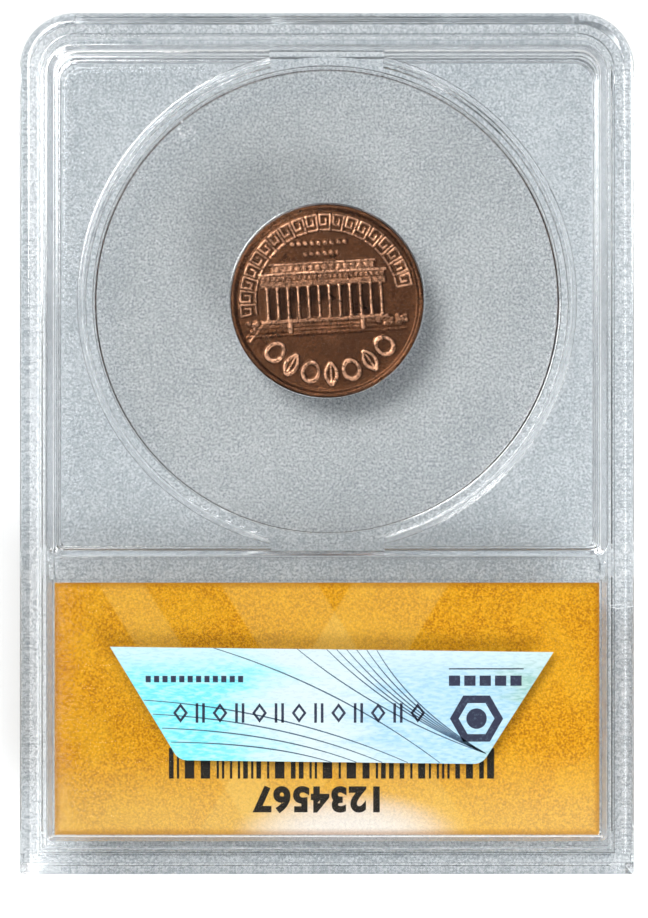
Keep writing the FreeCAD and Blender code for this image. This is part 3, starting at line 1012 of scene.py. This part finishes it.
    @staticmethod
    def on_arc(angle: np.ndarray, span: Point, count: int, middle: float) -> tuple[np.ndarray, ...]:
        """Shares an arc out evenly among the figures of a border.

        Args:
            angle: The angle of each place, in degrees.
            span: The angles where the border begins and ends.
            count: How many figures it has.
            middle: The radius of its middle line.

        Returns:
            Which figure each place is in, how far it is from that figure's middle along the arc, and
            whether it is within the border.
        """
        step = (span[1] - span[0]) / count
        place = np.clip((angle - span[0]) / step, 0.0, count - 1e-6)
        number = np.floor(place)
        across = (place - number - 0.5) * math.radians(step) * middle
        return number, across, (angle > span[0]) & (angle < span[1])

    def key_border(self, r: np.ndarray, angle: np.ndarray) -> np.ndarray:
        """The border of key-pattern hooks over the hall, each drawn in its own upright frame on the arc.

        Args:
            r: The distance from the middle at each place.
            angle: The angle of each place, in degrees.

        Returns:
            The share of full height at each place.
        """
        _, across, inside = self.on_arc(angle, self.key_span, self.keys, self.key_middle)
        w, h = self.key_size[0] / 2, self.key_size[1] / 2
        hook = ((w, -h), (-w, -h), (-w, h), (w, h), (w, -h * 0.3), (-w * 0.2, -h * 0.3), (-w * 0.2, h * 0.35))
        stroke = from_stroke(across, r - self.key_middle, hook)
        return soft_step(self.key_stroke / 2 - stroke, 0.1) * inside

    def block_border(self, r: np.ndarray, angle: np.ndarray) -> np.ndarray:
        """The bolder border along the foot: rings and veined leaves by turns.

        Args:
            r: The distance from the middle at each place.
            angle: The angle of each place, in degrees.

        Returns:
            The share of full height at each place.
        """
        number, across, inside = self.on_arc(angle, self.block_span, self.blocks, self.block_middle)
        up = self.block_middle - r
        ring = np.abs(np.hypot(across, up * 0.84) - 0.78)
        leaf = np.abs(np.abs(across) - 0.56 * np.cos(np.clip(up / 1.2, -1.0, 1.0) * math.pi / 2))
        vein = np.where(np.abs(up) < 1.2, np.minimum(leaf, np.abs(across) + 0.08), 1.0)
        stroke = np.where(number % 2 == 0, ring, vein)
        return soft_step(self.block_stroke / 2 - stroke, 0.13) * inside

    @staticmethod
    def bead_row(x: np.ndarray, y: np.ndarray, span: Point, level: float, size: float) -> np.ndarray:
        """A level row of round beads, a little over their size apart.

        Args:
            x: Places across.
            y: Places up.
            span: Where the row begins and ends.
            level: The height of its middle line.
            size: A bead's width.

        Returns:
            The share of full height at each place.
        """
        step = size * 1.3
        place = (x - span[0]) % step - step / 2
        round_bead = soft_step(size / 2 - np.hypot(place, y - level), 0.12)
        return round_bead * (x > span[0]) * (x < span[1])

    @staticmethod
    def shrubs(x: np.ndarray, y: np.ndarray) -> np.ndarray:
        """Low shrubs at the hall's feet: a heap of round bumps at seeded places.

        Args:
            x: Places across.
            y: Places up.

        Returns:
            The height at each place.
        """
        draw = np.random.default_rng(7)
        heap = np.zeros_like(x)
        for low, high, count in ((4.0, 7.7, 24), (-7.9, -6.9, 7)):
            spots = np.column_stack([draw.uniform(low, high, count), draw.uniform(-2.5, -1.75, count)])
            sizes = draw.uniform(0.2, 0.42, count)
            for (across, up), size in zip(spots, sizes):
                bump = np.clip(1.0 - ((x - across) ** 2 + (y - up) ** 2) / size**2, 0.0, 1.0)
                heap = np.maximum(heap, (0.07 + 0.04 * size) * np.sqrt(bump))
        return heap

    def lower_height(self, x: np.ndarray, y: np.ndarray) -> np.ndarray:
        """The other face: a wreath of leaves in two rows about a rosette of eight petals.

        Args:
            x: Places across.
            y: Places up.

        Returns:
            The height at each place.
        """
        r, angle = np.hypot(x, y), np.degrees(np.arctan2(y, x)) % 360.0
        inner_leaves = self.leaf_ring(r, (angle + 6.0) % 360.0, 5.75, -30.0)
        wreath = np.maximum(self.leaf_ring(r, angle, 7.0, 30.0), inner_leaves)
        stem = 0.6 * soft_step(0.12 - np.abs(r - 6.38), 0.1)
        petal = np.abs(np.cos(np.radians(angle) * 4.0))
        rosette = soft_step(2.1 + 1.2 * petal**0.6 - r, 0.35) * (0.55 + 0.45 * petal)
        boss = soft_step(0.85 - r, 0.3)
        beads = soft_step(0.16 - np.hypot((angle % 5.0 - 2.5) * math.radians(1.0) * 8.35, r - 8.35), 0.12)
        struck = np.maximum.reduce([0.11 * wreath, 0.09 * stem, 0.10 * rosette, 0.14 * boss, 0.06 * beads])
        return np.minimum(self.rim(r) + struck * (r < self.rim_inside), self.rim_height)

    @staticmethod
    def leaf_ring(r: np.ndarray, angle: np.ndarray, middle: float, lean: float) -> np.ndarray:
        """Thirty leaves on a circle: each is a pointed oval, leaning by some degrees, with a groove.

        Args:
            r: The distance from the middle at each place.
            angle: The angle of each place, in degrees.
            middle: The circle's radius.
            lean: How far each leaf leans, in degrees.

        Returns:
            The share of full height at each place.
        """
        step = 12.0
        across = ((angle % step) - step / 2) * math.radians(1.0) * middle
        up = r - middle
        c, s = math.cos(math.radians(lean)), math.sin(math.radians(lean))
        length, width = across * c + up * s, -across * s + up * c
        oval = 0.34 * np.clip(1.0 - np.abs(length / 0.95) ** 1.6, 0.0, 1.0)
        leaf = np.clip(1.0 - (width / np.maximum(oval, 1e-3)) ** 2, 0.0, 1.0)
        groove = 1.0 - 0.3 * soft_step(0.05 - np.abs(width), 0.08)
        return np.sqrt(leaf) * groove

    def edge_rings(self, radius: float, top: float, bottom: float) -> tuple[np.ndarray, int]:
        """Rings of points round the edge: two quarter rounds with a straight wall between them.

        Args:
            radius: The coin's radius.
            top: The height of its upper face's rim.
            bottom: The same for the lower face.

        Returns:
            The points, ring by ring from the top, and the number of rings.
        """
        turn = np.radians(np.array([30.0, 60.0, 90.0]))
        out, down = np.sin(turn) * self.edge_round, (1 - np.cos(turn)) * self.edge_round
        quarter = radius - self.edge_round + out
        reach = np.concatenate([quarter, quarter[::-1]])
        level = np.concatenate([top - down, (bottom + down)[::-1]])
        count = 4 * self.upper_cells
        angle = -math.pi / 4 + np.arange(count) * 2 * math.pi / count
        x, y = reach[:, None] * np.cos(angle), reach[:, None] * np.sin(angle)
        z = np.broadcast_to(level[:, None], x.shape)
        return np.stack([x, y, z], axis=-1).reshape(-1, 3), len(reach)

    def edge_faces(self, rings: int, first: int) -> np.ndarray:
        """The faces from the upper face's border down through the rings.

        Args:
            rings: The number of rings.
            first: The number of the first ring's first point.

        Returns:
            The four-sided faces.
        """
        count = 4 * self.upper_cells
        levels = np.concatenate([rim_walk(self.upper_cells), first + np.arange(rings * count)])
        levels = levels.reshape(rings + 1, count)
        above, below = levels[:-1], levels[1:]
        return np.stack([above, below, np.roll(below, -1, 1), np.roll(above, -1, 1)], axis=-1).reshape(-1, 4)

    def stitch(self, ring: int, first_lower: int) -> np.ndarray:
        """Triangles from the last ring to the lower face's border, four steps above for three below.

        Args:
            ring: The number of the last ring's first point.
            first_lower: The same for the lower face.

        Returns:
            The three-sided faces.
        """
        above = ring + np.arange(4 * self.upper_cells)
        below = first_lower + rim_walk(self.lower_cells)
        groups = np.arange(self.upper_cells)
        u = above[(groups[:, None] * 4 + np.arange(5)) % len(above)]
        v = below[(groups[:, None] * 3 + np.arange(4)) % len(below)]
        fans = [(u[:, 0], v[:, 0], u[:, 1])]
        for k in range(3):
            fans += [(u[:, k + 1], v[:, k], v[:, k + 1]), (u[:, k + 1], v[:, k + 1], u[:, k + 2])]
        return np.concatenate([np.stack(fan, axis=1) for fan in fans])


@dataclass
class PrintedCard:
    """The label card and what is printed on both of its sides. Sizes are in millimetres.

    Each of the front's rows of dashes has its level, its height and the place across that it reaches.
    """

    film: float = 0.006
    bar_left: float = -15.5
    bar_right: float = 16.6
    bar_low: float = -32.9
    bar_high: float = -29.9
    bar_module: float = 0.26
    number: str = "1234567"
    number_size: float = 3.25
    number_bold: float = 0.165
    number_spread: float = 1.14
    number_middle: Point = (-0.7, -34.8)
    front_rows: tuple[Place, ...] = (
        (-32.0, 1.4, 20.0),
        (-28.6, 1.9, 16.0),
        (-25.0, 1.4, 22.0),
        (-21.6, 1.4, 12.0),
    )
    front_left: float = -22.0
    square_place: Point = (15.5, -21.5)
    square_step: float = 0.75
    squares: int = 9

    def build(self) -> None:
        """Dresses the card, and prints its two sides."""
        dress("label_card", CardPaper().build())
        ink = Ink("label_ink", (0.016, 0.014, 0.012), (0.10, 0.07, 0.03)).build()
        low, high = (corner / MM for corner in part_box("label_card"))
        printed = {
            "label_print": plates(self.bars(), high.z, high.z + self.film),
            "label_number": self.digits(high.z),
            "label_front_print": plates(self.lines(), low.z - self.film, low.z),
        }
        for name, (points, faces) in printed.items():
            placed(new_piece(name, points, [faces], ink), Body.HOLDER)

    def bars(self) -> np.ndarray:
        """Upright bars of one to four modules, with gaps of one or two, from a seeded draw: no code.

        Returns:
            The left, right, low and high side of each bar.
        """
        draw = np.random.default_rng(12)
        widths = draw.choice([1, 1, 1, 2, 2, 3, 4], 90) * self.bar_module
        gaps = draw.choice([1, 1, 1, 2, 2], 90) * self.bar_module
        left = self.bar_left + np.concatenate([[0.0], np.cumsum(widths + gaps)[:-1]])
        kept = left + widths < self.bar_right
        left, widths = left[kept], widths[kept]
        low, high = np.full(len(left), self.bar_low), np.full(len(left), self.bar_high)
        return np.stack([left, left + widths * 0.9, low, high], axis=1)

    def digits(self, level: float) -> Mesh:
        """The plain running number, printed upside down: a mesh with its seams closed before it is placed.

        Args:
            level: The height of the card's face.

        Returns:
            The points, and their three-sided faces.
        """
        text = bpy.data.curves.new("number_text", "FONT")
        text.body, text.size, text.align_x, text.align_y = self.number, self.number_size, "CENTER", "CENTER"
        text.offset, text.extrude = self.number_bold, self.film / 2
        text.space_character, text.resolution_u = self.number_spread, 6
        holder = bpy.data.objects.new("number_text", text)
        bpy.context.scene.collection.objects.link(holder)
        mesh = bpy.data.meshes.new_from_object(holder.evaluated_get(bpy.context.evaluated_depsgraph_get()))
        points = np.empty(len(mesh.vertices) * 3)
        mesh.vertices.foreach_get("co", points)
        mesh.calc_loop_triangles()
        faces = np.empty(len(mesh.loop_triangles) * 3, dtype=np.int64)
        mesh.loop_triangles.foreach_get("vertices", faces)
        bpy.data.objects.remove(holder)
        bpy.data.curves.remove(text)
        bpy.data.meshes.remove(mesh)
        points, place = np.unique(points.reshape(-1, 3).round(5), axis=0, return_inverse=True)
        faces = place.reshape(-1)[faces].reshape(-1, 3)
        whole = (faces != np.roll(faces, 1, axis=1)).all(axis=1)
        points[:, :2] = np.array(self.number_middle) - points[:, :2]
        points[:, 2] += level + self.film / 2
        return points, faces[whole]

    def lines(self) -> np.ndarray:
        """The front's printing, from a seeded draw: a wide bar, rows of dashes and a block of squares.

        Returns:
            The left, right, low and high side of each mark.
        """
        draw = np.random.default_rng(3)
        rows = [np.array([[self.front_left, 22.0, -36.6, -34.9]])]
        for level, tall, reach in self.front_rows:
            widths = draw.uniform(1.0, 4.2, 24)
            left = self.front_left + np.concatenate([[0.0], np.cumsum(widths + 0.8)[:-1]])
            kept = left + widths < reach
            low = np.full(kept.sum(), level)
            rows.append(np.stack([left[kept], (left + widths)[kept], low, low + tall], axis=1))
        i, j = (k.ravel() for k in np.meshgrid(np.arange(self.squares), np.arange(self.squares)))
        kept = draw.random(self.squares**2) < 0.55
        x = self.square_place[0] + i[kept] * self.square_step
        y = self.square_place[1] + j[kept] * self.square_step
        rows.append(np.stack([x, x + 0.72, y, y + 0.72], axis=1))
        return np.concatenate(rows)


@dataclass
class FoilSeal:
    """The foil seal on the label end and its fine printing. Sizes are in millimetres.

    A bend is a curve's start, the place it leans towards, and its end. A bundle of curves goes from a first
    bend to a last one.
    """

    film: float = 0.008
    line_width: float = 0.11
    stations: int = 48
    alone: Bend = ((-11.1, -20.0), (1.1, -23.75), (11.0, -31.2))
    fan: tuple[Bend, Bend] = (
        ((-2.9, -20.1), (5.1, -26.65), (15.5, -30.3)),
        ((4.85, -20.2), (8.2, -26.0), (15.5, -30.3)),
    )
    fan_lines: int = 7
    fan_gap: float = 0.37
    sweep: tuple[Bend, Bend] = (
        ((-17.9, -25.1), (-4.0, -26.0), (7.9, -31.2)),
        ((-15.2, -29.2), (-5.6, -29.3), (0.4, -31.15)),
    )
    sweep_lines: int = 4
    links: int = 13
    link_place: Point = (-14.3, -26.35)
    link_step: float = 1.93
    lozenge: Point = (0.72, 0.95)
    lozenge_hole: float = 0.60
    emblem_middle: Point = (14.6, -26.9)

    def build(self) -> None:
        """Dresses the seal, and prints its lines, its chain and its emblem."""
        dress("hologram_sticker", SealFoil().build())
        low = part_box("hologram_sticker")[1].z / MM
        high = low + self.film
        line_ink = Ink("seal_line_ink", (0.06, 0.10, 0.16), (0.16, 0.30, 0.40), 0.35).build()
        chain_ink = Ink("seal_chain_ink", (0.035, 0.04, 0.07), (0.10, 0.14, 0.20), 0.35).build()
        points, faces = joined([ribbon(line, self.widths(), low, high) for line in self.ribbons()])
        placed(new_piece("seal_ribbons", points, faces, line_ink), Body.HOLDER)
        points, faces = joined(self.chain(low, high) + self.emblem(low, high))
        placed(new_piece("seal_print", points, faces, chain_ink), Body.HOLDER)

    def widths(self) -> np.ndarray:
        """A line's width at each station: full in the middle and fine at its ends."""
        return self.line_width * (0.6 + 0.55 * np.sin(np.linspace(0.1, math.pi - 0.1, self.stations)))

    def bundle(self, ends: tuple[Bend, Bend], shares: np.ndarray) -> list[np.ndarray]:
        """Curves between a first bend and a last one.

        Args:
            ends: The two bends.
            shares: How far each curve is from the first to the last, from 0 to 1.

        Returns:
            The stations of each curve.
        """
        first, last = np.array(ends)
        return [bent(*(first * (1 - share) + last * share), self.stations) for share in shares]

    def ribbons(self) -> list[np.ndarray]:
        """Flowing hairlines: one alone, a fan that meets at one point, and a sweep from the short side."""
        fan_shares = np.concatenate([[0.0], np.linspace(self.fan_gap, 1.0, self.fan_lines - 1)])
        return [
            bent(*np.array(self.alone), self.stations),
            *self.bundle(self.fan, fan_shares),
            *self.bundle(self.sweep, np.linspace(0.0, 1.0, self.sweep_lines)),
        ]

    def chain(self, low: float, high: float) -> list[Mesh]:
        """A chain of open lozenges and upright strokes by turns, and a short row of small squares.

        Args:
            low: The height of the foil's face.
            high: The height of the printing's top.

        Returns:
            The mesh of each mark.
        """
        wide, tall = self.lozenge
        outline = np.array([[wide, 0.0], [0.0, tall], [-wide, 0.0], [0.0, -tall]])
        marks = []
        for k in range(self.links):
            middle = self.link_place[0] + k * self.link_step
            if k % 2 == 0:
                spot = np.array([middle, self.link_place[1]])
                marks.append(prism(spot + outline, spot + outline * self.lozenge_hole, low, high))
            else:
                strokes = [[middle + s, middle + s + 0.26, -27.3, -25.4] for s in (-0.45, 0.19)]
                marks.append(plates(np.array(strokes), low, high))
        marks.append(plates(self.row(-17.7, 12, 0.82, (0.5, 0.62), -23.35), low, high))
        return marks

    def emblem(self, low: float, high: float) -> list[Mesh]:
        """A plain six-sided ring with a round dot, and a row of dashes and a thin rule over it.

        Args:
            low: The height of the foil's face.
            high: The height of the printing's top.

        Returns:
            The mesh of each mark.
        """
        middle = self.emblem_middle
        return [
            prism(polygon(middle, 2.6, 6), polygon(middle, 1.75, 6), low, high),
            patch(polygon(middle, 1.0, 32), low, high),
            plates(self.row(11.9, 5, 1.5, (1.1, 1.0), -23.7), low, high),
            plates(np.array([[11.9, 19.2, -22.1, -21.98]]), low, high),
        ]

    @staticmethod
    def row(first: float, count: int, step: float, size: Point, foot: float) -> np.ndarray:
        """The sides of equal rectangles in a level row, evenly spaced from the first one's left side."""
        left, low = first + np.arange(count) * step, np.full(count, foot)
        return np.stack([left, left + size[0], low, low + size[1]], axis=1)


@dataclass
class Wear:
    """Marks of handling on the clear case: a crack across one rim, and scuffs on the round window.

    Sizes are in millimetres.
    """

    crack_place: Point = (28.6, -16.0)
    crack_reach: float = 1.25
    crack_shifts: Point = (0.0, 0.22)
    crack_levels: Point = (7.86, 7.95)
    crack_stations: int = 22
    crack_wander: float = 0.045
    scuff_middle: Point = (-13.7, 30.6)
    scuff_spread: float = 0.75
    scuffs: int = 16
    scuff_thick: float = 0.004
    window_rise: float = 1.45

    def build(self) -> None:
        """Makes the marks from a seeded draw, in stress-whitened plastic."""
        white = Ink("stress_white", (0.70, 0.72, 0.74), (0.90, 0.90, 0.90), 0.6).build()
        draw = np.random.default_rng(21)
        points, faces = joined([self.crack(draw, shift) for shift in self.crack_shifts])
        placed(new_piece("rim_crack", points, faces, white), Body.HOLDER)
        points, faces = joined([self.flake(draw) for _ in range(self.scuffs)])
        placed(new_piece("window_scuffs", points, faces, white), Body.HOLDER)

    def crack(self, draw: np.random.Generator, shift: float) -> Mesh:
        """A jagged sliver inside the rim: a strip whose line and width wander at each station.

        Args:
            draw: The seeded draw.
            shift: How far up it is from the crack's place.

        Returns:
            The points, and their faces.
        """
        count = self.crack_stations
        across = self.crack_place[0] + np.linspace(-self.crack_reach, self.crack_reach, count)
        wander = np.cumsum(draw.normal(0.0, self.crack_wander, count))
        line = np.stack([across, self.crack_place[1] + shift + wander - wander.mean()], axis=1)
        width = (0.03 + 0.12 * draw.random(count)) * np.sin(np.linspace(0.15, math.pi - 0.15, count))
        return ribbon(line, width, *self.crack_levels)

    def flake(self, draw: np.random.Generator) -> Mesh:
        """One shallow scuff on the window's face: a flat patch with seven uneven corners.

        Args:
            draw: The seeded draw.

        Returns:
            The points, and their faces.
        """
        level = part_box("coin_insert")[1].z / MM + self.window_rise
        middle = np.array(self.scuff_middle) + draw.normal(0.0, self.scuff_spread, 2) * np.array([1.0, 0.7])
        corners = polygon((0.0, 0.0), 1.0, 7, draw.uniform(0.0, 50.0))
        reach = draw.uniform(0.04, 0.20) * draw.uniform(0.5, 1.0, (7, 1))
        return patch(middle + corners * reach, level, level + self.scuff_thick)


# ---------------------------------------------------------------- floor, light and camera


@dataclass
class Studio:
    """The floor, the three soft lamps, the surround and the camera straight above.

    Sizes are in metres, but for the floor's, which are in millimetres. The surround's band is in heights of
    a direction, from 0 at the horizon to 1 overhead.
    """

    target: Place = (-0.00029, -0.00156, 0.0)
    camera_height: float = 0.200
    view_level: float = 0.0069
    view_reach: float = 0.08970
    key_place: Place = (-0.37, 0.38, 0.85)
    key_size: float = 0.46
    key_power: float = 9.0
    fill_place: Place = (0.125, -0.155, 0.13)
    fill_size: float = 0.10
    fill_power: float = 0.40
    strip_place: Place = (-0.178, 0.0, 1.0)
    strip_width: float = 0.018
    strip_length: float = 0.56
    strip_glow: float = 5.2
    sky: Colour = (0.86, 0.90, 0.94)
    sky_strength: float = 0.48
    sky_overhead: float = 0.06
    sky_band: Point = (0.55, 0.98)
    floor_reach: float = 1500.0
    floor_level: float = -0.02

    def build(self) -> None:
        """Sets up everything round the slab."""
        self.floor()
        self.lamp("key", self.key_place, self.key_size, self.key_power, (1.0, 0.985, 0.96))
        self.lamp("fill", self.fill_place, self.fill_size, self.fill_power, (1.0, 0.99, 0.98))
        self.strip()
        self.world()
        self.camera()
        scene = bpy.context.scene
        scene.view_settings.view_transform = "Standard"
        scene.cycles.max_bounces = 24
        scene.cycles.transmission_bounces = 20
        scene.cycles.glossy_bounces = 24
        scene.cycles.transparent_max_bounces = 32
        scene.cycles.caustics_refractive = False
        scene.cycles.caustics_reflective = False

    def floor(self) -> None:
        """A wide plain floor just under the slab."""
        reach, level = self.floor_reach, self.floor_level
        x, y = np.array([-reach, reach, reach, -reach]), np.array([-reach, -reach, reach, reach])
        points = np.stack([x, y, np.full(4, level)], axis=1)
        new_piece("floor", points, [np.array([[0, 1, 2, 3]])], FloorPaint().build())

    def lamp(self, name: str, place: Place, size: float, power: float, colour: Colour) -> None:
        """One soft square lamp, turned towards the slab.

        Args:
            name: The lamp's name.
            place: Where its middle is.
            size: The length of its side.
            power: Its power in watts.
            colour: Its colour.
        """
        light = bpy.data.lights.new(name, "AREA")
        light.size, light.energy, light.color = size, power, colour
        holder = bpy.data.objects.new(name, light)
        holder.location = place
        holder.rotation_euler = (Vector(self.target) - Vector(place)).to_track_quat("-Z", "Y").to_euler()
        bpy.context.scene.collection.objects.link(holder)

    def strip(self) -> None:
        """A long thin lamp overhead that shows only as a soft gleam in the flat top of one rim."""
        light = bpy.data.lights.new("strip", "AREA")
        light.shape, light.size, light.size_y = "RECTANGLE", self.strip_width, self.strip_length
        light.energy = self.strip_glow * math.pi * self.strip_width * self.strip_length
        holder = bpy.data.objects.new("strip", light)
        holder.location = self.strip_place
        bpy.context.scene.collection.objects.link(holder)

    def world(self) -> None:
        """A grey-blue surround that is darker overhead, so that flat clear faces stay clear."""
        world = bpy.data.worlds.new("surround")
        world.use_nodes = True
        tree = world.node_tree
        tree.nodes.clear()
        place = tree.nodes.new("ShaderNodeTexCoord")
        parts = tree.nodes.new("ShaderNodeSeparateXYZ")
        level = tree.nodes.new("ShaderNodeMapRange")
        level.interpolation_type = "SMOOTHSTEP"
        ends = (*self.sky_band, 1.0, self.sky_overhead)
        for name, value in zip(("From Min", "From Max", "To Min", "To Max"), ends):
            level.inputs[name].default_value = value
        strength = tree.nodes.new("ShaderNodeMath")
        strength.operation = "MULTIPLY"
        strength.inputs[1].default_value = self.sky_strength
        background = tree.nodes.new("ShaderNodeBackground")
        background.inputs["Color"].default_value = (*self.sky, 1.0)
        output = tree.nodes.new("ShaderNodeOutputWorld")
        tree.links.new(place.outputs["Generated"], parts.inputs[0])
        tree.links.new(parts.outputs["Z"], level.inputs["Value"])
        tree.links.new(level.outputs[0], strength.inputs[0])
        tree.links.new(strength.outputs[0], background.inputs["Strength"])
        tree.links.new(background.outputs[0], output.inputs["Surface"])
        bpy.context.scene.world = world

    def camera(self) -> None:
        """A camera straight above, with the slab's coin end at the top of its view."""
        lens = bpy.data.cameras.new("camera")
        lens.sensor_width = 36.0
        lens.lens = lens.sensor_width * (self.camera_height - self.view_level) / self.view_reach
        lens.clip_start, lens.clip_end = 0.01, 10.0
        holder = bpy.data.objects.new("camera", lens)
        holder.location = (self.target[0], self.target[1], self.camera_height)
        bpy.context.scene.collection.objects.link(holder)
        bpy.context.scene.camera = holder


def main() -> None:
    """Builds the slab's looks in order."""
    logging.basicConfig(level=logging.INFO, format="%(name)s: %(message)s")
    ClearCase().build()
    StruckCoin().build()
    PrintedCard().build()
    FoilSeal().build()
    Wear().build()
    Studio().build()


if __name__ == "__main__":
    main()
